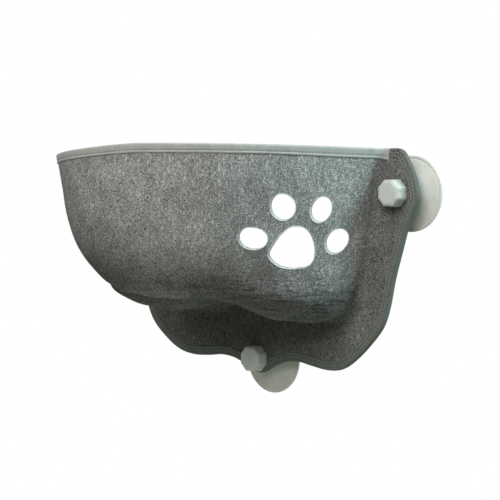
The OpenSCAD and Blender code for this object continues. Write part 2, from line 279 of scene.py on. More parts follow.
def new_maker(name, floats, others):
    """A Geometry Nodes tree with named sizes; gives the tree, its inputs and the sockets'
    identifiers by label, which a modifier's inputs are set by."""
    tree = bpy.data.node_groups.new(name, "GeometryNodeTree")
    face = tree.interface
    face.new_socket("Geometry", in_out="INPUT", socket_type="NodeSocketGeometry")
    named = {}
    for label, value in floats:
        named[label] = face.new_socket(label, in_out="INPUT", socket_type="NodeSocketFloat")
        named[label].default_value = value
    for label, kind in others:
        named[label] = face.new_socket(label, in_out="INPUT", socket_type=kind)
    face.new_socket("Geometry", in_out="OUTPUT", socket_type="NodeSocketGeometry")
    given = tree.nodes.new("NodeGroupInput").outputs
    return tree, given, {label: socket.identifier for label, socket in named.items()}


def paint_and_leave(tree, geometry, material):
    """Ends a tree: its result takes the material."""
    painted = add(tree, "GeometryNodeSetMaterial", {"Geometry": geometry, "Material": material})
    leave = tree.nodes.new("NodeGroupOutput")
    tree.links.new(painted.outputs[0], leave.inputs[0])


FIBRES = build_fibre_group()
WEAVE = build_weave_group()
MOULDING = build_moulding_group()


def surface(name, group, values, bump, distance, principled):
    """A material whose colour and relief come from one group."""
    material = bpy.data.materials.new(name)
    material.use_nodes = True
    tree = material.node_tree
    shader = tree.nodes["Principled BSDF"]
    for key, value in principled.items():
        shader.inputs[key].default_value = value
    place = add(tree, "ShaderNodeTexCoord").outputs["Object"]
    pattern = add(tree, "ShaderNodeGroup", node_tree=group)
    tree.links.new(place, pattern.inputs["Place"])
    for key, value in values.items():
        if isinstance(value, str):
            told = add(tree, "ShaderNodeAttribute", attribute_name=value)
            tree.links.new(told.outputs["Fac"], pattern.inputs[key])
        else:
            pattern.inputs[key].default_value = value
    tree.links.new(pattern.outputs["Color"], shader.inputs["Base Color"])
    if "Roughness" in pattern.outputs:
        tree.links.new(pattern.outputs["Roughness"], shader.inputs["Roughness"])
    relief = add(tree, "ShaderNodeBump", {"Strength": bump, "Distance": distance,
                                          "Height": pattern.outputs["Height"]})
    tree.links.new(relief.outputs[0], shader.inputs["Normal"])
    return material


# Felt whose tone a point level of painted light and shade makes paler or darker.
FELT = surface("heathered felt", FIBRES,
               {"Ground": srgb(130, 130, 127), "Dark Fibre": srgb(56, 57, 56),
                "Pale Fibre": srgb(182, 184, 181), "Fibre Scale": 800.0, "Strength": 1.0,
                "Painted Light Shade": "painted_light_shade", "Crease": "crease"},
               0.6, 0.0006, {"Roughness": 1.0, "Specular IOR Level": 0.04})
# Painted light: the cut edges of the paw holes and their beads are much paler than the felt, standing
# in for light from behind shining through the holes.
PALE_LIT_EDGE_FELT = surface("felt cut edge with painted glow", FIBRES,
                   {"Ground": srgb(186, 188, 186), "Dark Fibre": srgb(132, 134, 133),
                    "Pale Fibre": srgb(214, 217, 215), "Fibre Scale": 700.0, "Strength": 0.7},
                   0.3, 0.0004, {"Roughness": 0.85, "Specular IOR Level": 0.25})
RIM_TAPE = surface("rim tape", WEAVE,
                   {"Tape": srgb(178, 179, 174), "Gap": srgb(147, 149, 144),
                    "Yarns": 800.0, "Strength": 0.6},
                   0.35, 0.0003, {"Roughness": 0.75, "Specular IOR Level": 0.3})
HEM_TAPE = surface("flange hem tape", WEAVE,
                   {"Tape": srgb(104, 110, 102), "Gap": srgb(84, 88, 83),
                    "Yarns": 760.0, "Strength": 0.6},
                   0.35, 0.0003, {"Roughness": 0.8, "Specular IOR Level": 0.3})
# Painted shade: the rim stitches are real thread, and their dark tone stands in for the shade in the
# stitch holes.
SHADE_DARK_THREAD = surface("sewing thread darkened as stitch shade", WEAVE,
                      {"Tape": srgb(122, 125, 120), "Gap": srgb(84, 87, 84), "Yarns": 2600.0,
                       "Strength": 1.0},
                      0.4, 0.0002, {"Roughness": 0.6})
PALE_THREAD = surface("pale sewing thread", WEAVE,
                      {"Tape": srgb(158, 163, 155), "Gap": srgb(110, 114, 108),
                       "Yarns": 2600.0, "Strength": 1.0},
                      0.4, 0.0002, {"Roughness": 0.6})
CUP_VINYL = surface("pale cup vinyl", MOULDING,
                    {"Body": srgb(219, 225, 216), "Cloud": srgb(206, 212, 201),
                     "Grain Scale": 420.0, "Gloss": 0.5},
                    0.08, 0.0003, {"Coat Weight": 0.04, "Coat Roughness": 0.4,
                                   "Subsurface Weight": 0.12, "Subsurface Scale": 0.004})
KNOB_PLASTIC = surface("pale knob plastic", MOULDING,
                       {"Body": srgb(205, 211, 203), "Cloud": srgb(196, 202, 193),
                        "Grain Scale": 1500.0, "Gloss": 0.5},
                       0.12, 0.0002, {"Coat Weight": 0.1, "Coat Roughness": 0.3})
STUD_PLASTIC = surface("stud plastic", MOULDING,
                       {"Body": srgb(200, 204, 196), "Cloud": srgb(184, 188, 180),
                        "Grain Scale": 1200.0, "Gloss": 0.4},
                       0.1, 0.0002, {"Coat Weight": 0.05})
WASHER_PLASTIC = surface("washer plastic", MOULDING,
                         {"Body": srgb(208, 211, 205), "Cloud": srgb(194, 198, 190),
                          "Grain Scale": 1300.0, "Gloss": 0.45},
                         0.1, 0.0002, {"Coat Weight": 0.05})


# Shape of the bowl
PLAN_POWER, SECTION_OUT, SECTION_DOWN = 2.4, 6.0, 4.0


def smooth(v):
    c = np.clip(v, 0, 1)
    return c * c * (3 - 2 * c)


def unit(v):
    return v / np.maximum(np.linalg.norm(v, axis=-1, keepdims=True), 1e-9)


def base_height(x, depth):
    back = 1 - smooth((depth / BOWL_DEPTH - 0.18) / (0.65 - 0.18))
    off = np.maximum(0, 0.436 - np.abs(x) / HALF_W) / 0.245
    return BASE_Z - LOBE_DROP * back * np.exp(-off * off)


def cheek_push(x, depth, z):
    up = (z - BASE_Z) / ((RIM_Z - BASE_Z) * 0.092)
    along = (depth / BOWL_DEPTH - 0.445) / 0.163
    return (np.sign(x) * CHEEK * np.exp(-up * up - along * along)
            * smooth(np.abs(x) / (HALF_W * 0.37)))


# How much firmer the lower edge is, by the angle round the plan from the right, in radians
FIRM_AT = [0, 0.12, 0.26, 0.38, 0.7, 0.9, 1.085, 1.31, 1.63, 1.79, 1.95, 2.135]
FIRM_BY = [7, 6, 3, 1.8, 0.4, 0.3, 0.8, 2, 2.2, 1.2, 0.3, 0]


def firm_edge(reach, drop, a):
    """Carries a section out to a boxier one where the moulded lower edge is firmer."""
    more = np.interp(a, FIRM_AT, FIRM_BY)
    out, down = SECTION_OUT + more, SECTION_DOWN + more
    reach, drop = reach + 0 * a, drop + 0 * a
    scale = (reach ** out + drop ** down) ** (-2 / (out + down))
    for _ in range(4):
        wide, tall = (scale * reach) ** out, (scale * drop) ** down
        scale = scale * (1 - (wide + tall - 1) / np.maximum(out * wide + down * tall, 1e-9))
    return reach * scale, drop * scale


def skin(reach, drop, a):
    """Point of the outer skin for a reach share, a drop share and a plan angle."""
    reach, drop = firm_edge(reach, drop, a)
    u = np.sign(np.cos(a)) * np.abs(np.cos(a)) ** (2 / PLAN_POWER)
    v = np.abs(np.sin(a)) ** (2 / PLAN_POWER)
    x = HALF_W * (1 - 0.17 * drop) * reach * u * (1 - 0.04 * v)
    depth = BOWL_DEPTH * (1 - 0.09 * drop) * reach * v
    z = RIM_Z - drop * (RIM_Z - base_height(x, depth))
    return np.stack([x + cheek_push(x, depth, z), -BEND_Y - depth, z], -1)


def lengths_along(path):
    """Length of a path from its start to each of its points."""
    return np.concatenate([[0], np.cumsum(np.linalg.norm(np.diff(path, axis=0), axis=1))])


def even_steps(curve, count):
    """Parameters that cut a curve, given as dense points, into even lengths."""
    run = lengths_along(curve)
    return np.interp(np.linspace(0, run[-1], count), run, np.linspace(0, 1, len(curve)))


def section_rows(count):
    """Reach and drop of rows that lie evenly down the wall and across the base."""
    t = np.linspace(0, 1, 6000) * math.pi / 2
    drop, reach = np.sin(t) ** (2 / SECTION_DOWN), np.cos(t) ** (2 / SECTION_OUT)
    even = even_steps(np.stack([reach * HALF_W, drop * (RIM_Z - BASE_Z)], -1), count)
    t = even * math.pi / 2
    drop, reach = np.sin(t) ** (2 / SECTION_DOWN), np.cos(t) ** (2 / SECTION_OUT)
    drop[-1], reach[-1] = 1.0, 0.0
    return reach, drop


def plan_angles(count):
    t = np.linspace(0, math.pi, 6001)
    u = np.sign(np.cos(t)) * np.abs(np.cos(t)) ** (2 / PLAN_POWER)
    v = np.abs(np.sin(t)) ** (2 / PLAN_POWER)
    angles = even_steps(np.stack([u * HALF_W, v * BOWL_DEPTH], -1), count) * math.pi
    angles[0], angles[-1] = 0.0, math.pi
    return angles


def bowl_grid(reach, drop, angles, bend_steps, soften=True):
    """Skin points and outward normals: rows down the wall, columns round the bowl with a
    bend to the flange at each end."""
    cols = len(angles)
    core = skin(reach[:, None], drop[:, None], angles[None, :])
    down = np.gradient(core, axis=0)
    if drop[-1] == 1.0 and reach[-1] == 0.0:
        down[-1] = core[-1] - core[-2]
    side = np.array([1.0, -1.0])
    edges = []
    for k, j in enumerate((0, cols - 1)):
        run = down[:, j]
        out = np.stack([-side[k] * run[:, 2], 0 * run[:, 0], side[k] * run[:, 0]], -1)
        out = unit(out)
        if drop[0] == 0:
            out[0] = [side[k], 0, 0]
        if reach[-1] == 0:
            out[-1] = [0, 0, -1]
        edges.append(out)
    along = np.zeros_like(core)
    along[:, 1:-1] = core[:, 2:] - core[:, :-2]
    normal = unit(np.cross(along, down))
    normal[:, 0], normal[:, -1] = edges[0], edges[1]
    if drop[0] == 0:
        normal[0] = unit(normal[0] * [1, 1, 0])
    if reach[-1] == 0:
        normal[-1] = [0, 0, -1]
    if soften:
        core = core + normal * felt_waves(core)[..., None]
    core = core + settle(core)
    bends = [[], []]
    for k in (0, 1):
        for step in range(bend_steps, 0, -1):
            b = math.pi / 2 * step / bend_steps
            start = core[:, 0 if k == 0 else -1]
            place = start + BEND_R * (1 - math.cos(b)) * edges[k] + [0, BEND_R * math.sin(b), 0]
            tilt = math.cos(b) * edges[k] + np.array([0, -math.sin(b), 0])
            bends[k].append((place, tilt))
    left = bends[0]
    right = bends[1][::-1]
    points = np.stack([p for p, _ in left] + [core[:, j] for j in range(cols)]
                      + [p for p, _ in right], 1)
    normals = np.stack([n for _, n in left] + [normal[:, j] for j in range(cols)]
                       + [n for _, n in right], 1)
    return points, normals


RIM_HANG = 13.0
WALL_LEAN, RIM_LEAN = 2.4, 5.0
LOBE_OUT, LOBE_DOWN = 4.5, 6.0
LIP_DEPTH = 8.0
# How far the base is tucked up, or let down where negative, by x
TUCK_AT = [-130, -95, -65, -45, -12, 50, 85, 115, 150]
TUCK_BY = [0, 3, 6, 7, 4, -3, -6, -6, 0]


def settle(points):
    """Where the soft felt lies off its mould: the front left of the rim hangs lower, the
    wall under it leans in a little, the base is tucked up towards the front left behind a
    lip, and the two base lobes bulge outwards and down."""
    x, depth, z = points[..., 0], -points[..., 1] - BEND_Y, points[..., 2]
    high = smooth((z - BASE_Z - 25) / (RIM_Z - BASE_Z - 25))
    tilt = RIM_HANG * np.clip((52 - x) / 205, 0, 1) ** 1.1 * smooth((depth - 10) / 150)
    lean = smooth((-x - 60) / 90) * smooth((depth - 30) / 80) * (
        WALL_LEAN * np.exp(-((z - 170) / 55) ** 2) + RIM_LEAN * smooth((z - 165) / 60))
    side = np.sign(x)
    lobe = (smooth((np.abs(x) - 62) / 62) * np.exp(-((depth - 62) / 62) ** 2)
            * smooth((depth - 1) / 22) * smooth((BASE_Z + 46 - z) / 52))
    tuck = (np.interp(x, TUCK_AT, TUCK_BY) * smooth((depth - 85) / 75)
            * smooth((BASE_Z + 40 - z) / 40))
    share = ((np.abs(x) / (HALF_W * 0.835)) ** PLAN_POWER
             + (np.maximum(depth, 0) / (BOWL_DEPTH * 0.912)) ** PLAN_POWER) ** (1 / PLAN_POWER)
    lip = (LIP_DEPTH * np.exp(-((share - 0.86) / 0.085) ** 2) * smooth((BASE_Z + 40 - z) / 36)
           * smooth((depth - 110) / 60) * smooth((x + 100) / 60))
    return np.stack([lean + side * LOBE_OUT * lobe, 0 * x,
                     tuck - tilt * high - LOBE_DOWN * lobe - lip], -1)


wave_draw = np.random.default_rng(11)
WAVES = [(wave_draw.normal(size=3) * 2 * math.pi / wave_draw.uniform(55, 150),
          wave_draw.uniform(0, 2 * math.pi)) for _ in range(14)]


def felt_waves(points):
    """Slight hand-made unevenness of moulded felt, none at the rim or at the bends."""
    total = np.zeros(points.shape[:-1])
    for k, phase in WAVES:
        total += np.sin(points @ k + phase)
    total *= 0.9 / math.sqrt(len(WAVES))
    calm = smooth((RIM_Z - points[..., 2] - 12) / 40) * smooth((-points[..., 1] - BEND_Y - 2) / 35)
    return total * calm


# Paw cut-out
PAW = np.array([154.0, -134.6, 144.0])
PUNCH_TURN, PUNCH_TILT = math.radians(27), math.radians(-15)
PAD_W, PAD_H, TOE_L = 43.0, 49.0, 29.0
PAD_SHARE = [(0.15, 1.02), (0.41, 1), (0.66, 0.89), (0.84, 0.68), (0.95, 0.43), (1.03, 0.11),
             (1.06, -0.22), (1.03, -0.54), (0.93, -0.76), (0.7, -0.92), (0.43, -0.94),
             (0.03, -0.9), (-0.3, -0.8), (-0.56, -0.64), (-0.76, -0.42), (-0.88, -0.21),
             (-0.9, -0.02), (-0.79, 0.2), (-0.61, 0.45), (-0.4, 0.7), (-0.12, 0.91)]
TOE_SHARE = [(-0.84, 0.193, 1.03, 0.86, -59), (-0.166, 0.79, 1.055, 0.786, -13),
             (0.587, 0.552, 1, 0.66, 4.4), (0.847, -0.261, 0.964, 0.712, 5.6)]


def curve_between(a, b, c, d, steps):
    """Points of a smooth curve from b towards c, with a before them and d after."""
    spots = []
    for s in range(steps):
        t = s / steps
        spots.append((2 * b + (c - a) * t + (2 * a - 5 * b + 4 * c - d) * t * t
                      + (3 * b - a - 3 * c + d) * t ** 3) / 2)
    return spots


def closed_curve(points, steps):
    """Smooth closed curve through points."""
    p = np.asarray(points, float)
    out = []
    for k in range(len(p)):
        out += curve_between(p[k - 1], p[k], p[(k + 1) % len(p)], p[(k + 2) % len(p)], steps)
    return np.array(out)


def paw_outlines():
    """Outlines of the pad and the toes in the plane of the punch."""
    pad = closed_curve(PAD_SHARE[::-1], 4)
    shapes = [pad * [PAD_W / 2, PAD_H / 2] + [-0.1 * PAD_W, -0.2 * PAD_H]]
    for u, v, length, width, turn in TOE_SHARE:
        t = np.linspace(0, 2 * math.pi, 56, endpoint=False)
        x, y = np.cos(t) * width * TOE_L / 2, np.sin(t) * length * TOE_L / 2
        r = math.radians(-turn)
        shapes.append(np.stack([x * math.cos(r) - y * math.sin(r) + u * PAD_W,
                                x * math.sin(r) + y * math.cos(r) + v * PAD_H], -1))
    return shapes


PUNCH = (Matrix.Translation(Vector(PAW)) @ Matrix.Rotation(PUNCH_TURN, 4, "Z")
         @ Matrix.Rotation(math.pi / 2 - PUNCH_TILT, 4, "X"))
PUNCH_ROWS = np.array(PUNCH)[:3]


TUNNEL_TURN, TUNNEL_TILT = math.radians(25), math.radians(-10)
TUNNEL = np.array([math.sin(TUNNEL_TURN) * math.cos(TUNNEL_TILT),
                   -math.cos(TUNNEL_TURN) * math.cos(TUNNEL_TILT), math.sin(TUNNEL_TILT)])


def on_punch(outline, height):
    """Points of a flat outline at a height along the punch."""
    flat = np.column_stack([outline, np.full(len(outline), height), np.ones(len(outline))])
    return flat @ PUNCH_ROWS.T


def skin_outline(outline, grid):
    """Where a punch outline meets a grid of the bowl's skin."""
    axis = Vector(PUNCH_ROWS[:, 2])
    tree = BVHTree.FromPolygons([Vector(p) for p in grid.reshape(-1, 3)],
                                grid_faces(*grid.shape[:2]))
    hits = [tree.ray_cast(Vector(p), -axis, 140)[0] for p in on_punch(outline, 70)]
    return np.array([hit for hit in hits if hit is not None])


def bead(path, radius, sides=8):
    """Closed tube along a closed path: points and faces."""
    path = np.asarray(path, float)
    count = len(path)
    tangent = unit(np.roll(path, -1, 0) - np.roll(path, 1, 0))
    lean = np.array([0.3, 0.2, 0.93])
    first = unit(np.cross(tangent, lean))
    second = np.cross(tangent, first)
    points = []
    for s in range(sides):
        a = 2 * math.pi * s / sides
        points.append(path + radius * (math.cos(a) * first + math.sin(a) * second))
    points = np.stack(points, 1).reshape(-1, 3)
    faces = [f[::-1] for f in grid_faces(count, sides, True, True)]
    return points, faces


# Felt bowl
BEND_STEPS = 8
REACH, DROP = section_rows(118)
ANGLES = plan_angles(190)
SKIN, SKIN_NORMAL = bowl_grid(REACH, DROP, ANGLES, BEND_STEPS)
LINING = SKIN - FELT_T * SKIN_NORMAL


def shell(outer, inner):
    """Closed wall between an outer and an inner grid."""
    rows, cols = outer.shape[:2]
    points = np.concatenate([outer.reshape(-1, 3), inner.reshape(-1, 3)])
    n = rows * cols
    faces = grid_faces(rows, cols)
    faces += [tuple(i + n for i in f[::-1]) for f in grid_faces(rows, cols)]
    for j in range(cols - 1):
        faces.append((j, n + j, n + j + 1, j + 1))
        a = (rows - 1) * cols + j
        faces.append((a, a + 1, n + a + 1, n + a))
    for i in range(rows - 1):
        a, b = i * cols, (i + 1) * cols
        faces.append((a, b, n + b, n + a))
        a, b = a + cols - 1, b + cols - 1
        faces.append((a, n + a, n + b, b))
    return points, faces


def clean(piece, gap=1e-6, crease=35, outward=True):
    """Merges doubles, drops faces without area and turns the faces outwards."""
    work = bmesh.new()
    work.from_mesh(piece.data)
    bmesh.ops.remove_doubles(work, verts=work.verts, dist=gap)
    bmesh.ops.dissolve_degenerate(work, dist=gap, edges=work.edges)
    if outward:
        bmesh.ops.recalc_face_normals(work, faces=work.faces)
    work.to_mesh(piece.data)
    work.free()
    smooth_mesh(piece.data, crease)


def made_plain(piece, modifier):
    """Puts a modifier's result in the piece's own mesh and takes the modifier off."""
    graph = bpy.context.evaluated_depsgraph_get()
    made = bpy.data.meshes.new_from_object(piece.evaluated_get(graph))
    piece.modifiers.remove(modifier)
    old, piece.data = piece.data, made
    name = old.name
    bpy.data.meshes.remove(old)
    made.name = name


def cut(piece, cutter):
    """Subtracts a closed cutter and drops it."""
    knife = piece.modifiers.new("cut", "BOOLEAN")
    knife.operation, knife.solver, knife.object = "DIFFERENCE", "EXACT", cutter
    knife.material_mode = "INDEX"
    made_plain(piece, knife)
    bpy.data.objects.remove(cutter)


def brush(piece, painted_light_shade, crease):
    """Writes the level of painted light and shade and how creased the felt is on the points of a
    piece.
    """
    mesh = piece.data
    spots, facing = np.zeros(len(mesh.vertices) * 3), np.zeros(len(mesh.vertices) * 3)
    mesh.vertices.foreach_get("co", spots)
    mesh.vertex_normals.foreach_get("vector", facing)
    spots, facing = spots.reshape(-1, 3) / MM, facing.reshape(-1, 3)
    for name, rule in (("painted_light_shade", painted_light_shade), ("crease", crease)):
        told = mesh.attributes.get(name) or mesh.attributes.new(name, "FLOAT", "POINT")
        told.data.foreach_set("value", np.asarray(rule(spots, facing), np.float32))


def plain(level):
    """A rule that gives every point the same level."""
    return lambda spots, facing: np.full(len(spots), level)


# Painted light: levels by height that make the bowl felt paler towards the rim.
LIGHT_LEVEL_AT = [80, 100, 118, 140, 155, 175, 213, 240]
LIGHT_LEVEL_BY = [0.98, 0.95, 1, 1.07, 1.12, 1.2, 1.32, 1.36]
LINING_LEVEL = 1.08
# Patches of painted light and shade: change of tone, x, depth and height, and the reach along each;
# those near the flange lie on both cheeks
LIGHT_SHADE_PATCHES = [(-0.24, -25, 225, 128, 50, 90, 32), (0.2, 92, 205, 145, 30, 60, 24),
           (-0.16, 138, 165, 195, 30, 60, 40), (0.2, 172, 45, 200, 60, 28, 22),
           (-0.1, 172, 14, 174, 60, 20, 18), (0.2, 165, 40, 128, 50, 32, 25),
           (0.34, 168, 6, 146, 60, 16, 40), (0.1, 125, 175, 148, 40, 50, 34),
           (-0.2, 5, 200, 112, 50, 60, 20), (-0.17, 130, 118, 104, 40, 45, 15),
           (-0.18, -110, 186, 205, 45, 60, 45), (-0.2, 142, 62, 58, 40, 45, 15)]


# Painted shade: the flange felt and the felt ends of the hem tape are set darker than the bowl felt.
FLANGE_SHADE_LEVEL = 0.66


def flange_light_and_shade(p, facing):
    """Painted light and shade: a level darker than the bowl's, with paler patches beside the foot of
    the bowl.
    """
    x, z = np.abs(p[:, 0]), p[:, 2]
    return (FLANGE_SHADE_LEVEL + 0.24 * np.exp(-((x - 142) / 32) ** 2 - ((z - 42) / 20) ** 2)
            + 0.1 * np.exp(-((x - 93) / 30) ** 2 - ((z - 22) / 16) ** 2))


def bowl_light_and_shade(p, facing):
    """Painted light and shade on the bowl: paler towards the rim, a painted shade band round the lower
    edge, a painted light band on the front lip, and patches of painted light and shade on the outer
    skin."""
    x, depth, z = p[:, 0], -p[:, 1] - BEND_Y, p[:, 2]
    wall = np.interp(z, LIGHT_LEVEL_AT, LIGHT_LEVEL_BY)
    for amount, at_x, at_depth, at_z, wide, far, tall in LIGHT_SHADE_PATCHES:
        side = np.abs(x) if at_depth < 60 else x
        wall += amount * np.exp(-((side - at_x) / wide) ** 2 - ((depth - at_depth) / far) ** 2
                                - ((z - at_z) / tall) ** 2)
    front = smooth((depth - 110) / 60)
    foot = 80 + 15 * front
    # Painted shade: a darker band round the foot of the wall.
    foot_shade = (0.32 + 0.1 * smooth((depth - 45) / 35)) * (0.3 + 0.7 * smooth((np.abs(x) - 20) / 60))
    wall *= 1 - foot_shade * np.exp(-((z - foot) / 15) ** 2)
    # Painted light: a paler band on the front lip of the base.
    wall *= 1 + 0.5 * front * smooth((92 - z) / 13)
    outside = smooth(0.5 + 4 * np.sum(facing * unit(p - [0, -130, 150]), 1))
    wall = LINING_LEVEL + (wall - LINING_LEVEL) * outside
    flat = flange_light_and_shade(p, facing)
    return flat + (wall - flat) * smooth((depth + 10) / 18)


def bowl_crease(p, facing):
    """Creases at the foot of the wall, strongest beside the base lobes; the crease lines are sunk in
    relief and also darkened in colour as painted shade.
    """
    x, depth, z = p[:, 0], -p[:, 1] - BEND_Y, p[:, 2]
    low = smooth((z - 48) / 12) * smooth((BASE_Z + 38 - z) / 34)
    return low * (0.3 + 0.7 * smooth((np.abs(x) - 40) / 60)) * smooth(depth / 25)


def make_felt_bowl():
    points, faces = shell(SKIN, LINING)
    bowl = finish_mesh("felt_bowl_dressed", points, faces, [FELT, PALE_LIT_EDGE_FELT])
    clean(bowl, gap=2e-5)
    cut_points, cut_faces = [], []
    for outline in paw_outlines():
        rim = skin_outline(outline, SKIN)
        start, count = len(np.concatenate(cut_points)) if cut_points else 0, len(rim)
        outer, inner = rim + 12 * TUNNEL, rim - 24 * TUNNEL
        cut_points += [inner, outer, [inner.mean(0)], [outer.mean(0)]]
        for i in range(count):
            n = (i + 1) % count
            cut_faces += [(start + i, start + n, start + count + n, start + count + i),
                          (start + n, start + i, start + 2 * count),
                          (start + count + i, start + count + n, start + 2 * count + 1)]
    cutter = finish_mesh("paw_punch", np.concatenate(cut_points), cut_faces, [FELT, PALE_LIT_EDGE_FELT],
                         slots=[1] * len(cut_faces))
    cut(bowl, cutter)
    smooth_mesh(bowl.data, 35)
    brush(bowl, bowl_light_and_shade, bowl_crease)
    return bowl


def make_paw_beads():
    """Fused bead round each hole, on both faces of the felt, in the pale edge felt that paints the
    light on the holes' edges.
    """
    points, faces = [], []
    inner_tree = BVHTree.FromPolygons([Vector(p) for p in LINING.reshape(-1, 3)],
                                      grid_faces(*LINING.shape[:2]))
    for outline in paw_outlines():
        rim = skin_outline(outline, SKIN)
        ends = [inner_tree.ray_cast(Vector(p), Vector(-TUNNEL), 40)[0] for p in rim]
        lining = np.array([p for p in ends if p is not None])
        for path, radius in ((rim, 0.55), (lining, 0.6)):
            if len(path) < 12:
                continue
            p, f = bead(path, radius)
            start = sum(len(q) for q in points)
            points.append(p)
            faces += [tuple(start + i for i in face) for face in f]
    return finish_mesh("paw_edge_beads", np.concatenate(points), faces, [PALE_LIT_EDGE_FELT], crease=80)


bowl = make_felt_bowl()
dress(bowl, "pod", "felt", "felt_bowl")
beads = make_paw_beads()
clean(beads, crease=80)
dress(beads, "pod", "felt")


# Outline of the flange
FLANGE_SHARE = [(0.87, 1), (0.9, 0.993), (0.925, 0.968), (0.955, 0.92), (0.983, 0.862),
                (1, 0.784), (0.98, 0.731), (0.937, 0.649), (0.903, 0.546), (0.86, 0.41),
                (0.832, 0.287), (0.797, 0.197), (0.73, 0.119), (0.636, 0.037), (0.55, -0.012),
                (0.458, -0.023), (0.356, -0.01), (0.263, 0.004), (0.178, -0.004),
                (0.102, -0.03), (0.055, -0.056)]
EAR_START = HALF_W + BEND_R


def open_curve(points, steps):
    """Smooth curve through points, from the first to the last."""
    p = np.asarray(points, float)
    out = []
    for k in range(len(p) - 1):
        out += curve_between(p[max(0, k - 1)], p[k], p[k + 1], p[min(len(p) - 1, k + 2)], steps)
    out.append(p[-1])
    return np.array(out)


def rounder_lobe(x, z):
    """The left lobe of the flange is cut fuller outwards and shallower below."""
    out = 3.5 * math.exp(-((z - 30) / 20) ** 2) * float(smooth((-x - 130) / 20))
    up = ((3.5 * math.exp(-((x + 108) / 24) ** 2) + 4 * math.exp(-((x + 138) / 14) ** 2))
          * float(smooth((32 - z) / 14)))
    return x - out, z + up


right_side = [(x * FLANGE_HALF_W, z * RIM_Z) for x, z in FLANGE_SHARE]
left_side = [rounder_lobe(-x, z) for x, z in reversed(right_side)]
OUTLINE = np.concatenate([[(EAR_START, RIM_Z)],
                          open_curve(right_side + [(0, -0.067 * RIM_Z)] + left_side, 10),
                          [(-EAR_START, RIM_Z)]])


def even_path(path, step):
    """The same open path with points an even step apart."""
    run = lengths_along(path)
    at = np.linspace(0, run[-1], int(run[-1] / step) + 1)
    return np.stack([np.interp(at, run, path[:, k]) for k in range(path.shape[1])], -1)


HEM_STEP = 2.2
HEM = even_path(OUTLINE, HEM_STEP)
BOWL_EDGE = np.concatenate([SKIN[1:, 0][:, [0, 2]], SKIN[-2:0:-1, -1][:, [0, 2]]])


def flange_ripple(x, z):
    """Slight waves of the flat felt, none beside the bowl or under the knobs."""
    wave = (np.sin(x * 0.041 + 0.7) * np.sin(z * 0.037 + 1.9)
            + 0.6 * np.sin(x * 0.083 - z * 0.061 + 0.4))
    points = np.stack([x, z], -1)
    gap = np.sqrt(((points[:, None] - BOWL_EDGE[None, ::3]) ** 2).sum(-1)).min(1)
    calm = smooth((gap - 3) / 22)
    for spot in SPOTS.values():
        calm = calm * smooth((np.hypot(x - spot[0], z - spot[1]) - 15) / 14)
    return 0.45 * wave * calm


HOLE_R = 5.5
SHEET_STEP = 6.0
BACK_RIPPLE = 0.6


def flange_sheet():
    """Points and triangles of the flange drawn flat, with its three stud holes."""
    edge = even_path(BOWL_EDGE, SHEET_STEP / 2)
    loop = np.concatenate([HEM, edge[::-1]])
    circles = [np.array([[x + HOLE_R * math.cos(a), z + HOLE_R * math.sin(a)]
                         for a in np.linspace(0, 2 * math.pi, 40, endpoint=False)])
               for x, z in SPOTS.values()]
    points, edges = [tuple(p) for p in loop], []
    n = len(points)
    edges += [(i, (i + 1) % n) for i in range(n)]
    for circle in circles:
        start = len(points)
        points += [tuple(p) for p in circle]
        edges += [(start + i, start + (i + 1) % len(circle)) for i in range(len(circle))]
    fixed = np.array(points)
    xs, zs = np.meshgrid(np.arange(-240, 241, SHEET_STEP), np.arange(-24, 246, SHEET_STEP))
    odd_row = (zs.ravel() / SHEET_STEP) % 2 > 0.5
    inner = np.stack([xs.ravel() + SHEET_STEP / 2 * odd_row, zs.ravel()], -1)
    gap = np.sqrt(((inner[:, None] - fixed[None]) ** 2).sum(-1)).min(1)
    inner = inner[(gap > SHEET_STEP / 2) & inside(inner, loop)]
    for x, z in SPOTS.values():
        inner = inner[np.hypot(inner[:, 0] - x, inner[:, 1] - z) > HOLE_R + 1.0]
    points += [tuple(p) for p in inner]
    made = delaunay_2d_cdt([Vector(p) for p in points], edges, [], 0, 1e-4)
    flat = np.array([tuple(p) for p in made[0]])
    middles = np.array([flat[list(f)].mean(0) for f in made[2]])
    keep = inside(middles, loop)
    for x, z in SPOTS.values():
        keep &= np.hypot(middles[:, 0] - x, middles[:, 1] - z) > HOLE_R - 0.05
    turned = []
    for f in (f for f, k in zip(made[2], keep) if k):
        a, b, c = flat[f[0]], flat[f[1]], flat[f[2]]
        area = (b[0] - a[0]) * (c[1] - a[1]) - (b[1] - a[1]) * (c[0] - a[0])
        turned.append(tuple(f) if area > 0 else tuple(f[::-1]))
    return flat, turned


def make_felt_flange():
    """The flat sheet with a front, a back and walls along every open edge."""
    flat, turned = flange_sheet()
    ripple = flange_ripple(flat[:, 0], flat[:, 1])
    front = np.stack([flat[:, 0], -FELT_FRONT - ripple, flat[:, 1]], -1)
    back = np.stack([flat[:, 0], -FELT_BACK - ripple * BACK_RIPPLE, flat[:, 1]], -1)
    count = len(flat)
    sides = {}
    for f in turned:
        for a, b in zip(f, f[1:] + f[:1]):
            sides[(a, b)] = sides.get((a, b), 0) + 1
    all_faces = list(turned) + [tuple(i + count for i in f[::-1]) for f in turned]
    for a, b in sides:
        if (b, a) not in sides:
            all_faces.append((b, a, a + count, b + count))
    piece = finish_mesh("felt_flange_dressed", np.concatenate([front, back]), all_faces, [FELT])
    clean(piece, gap=1e-7)
    brush(piece, flange_light_and_shade, plain(0.0))
    return piece


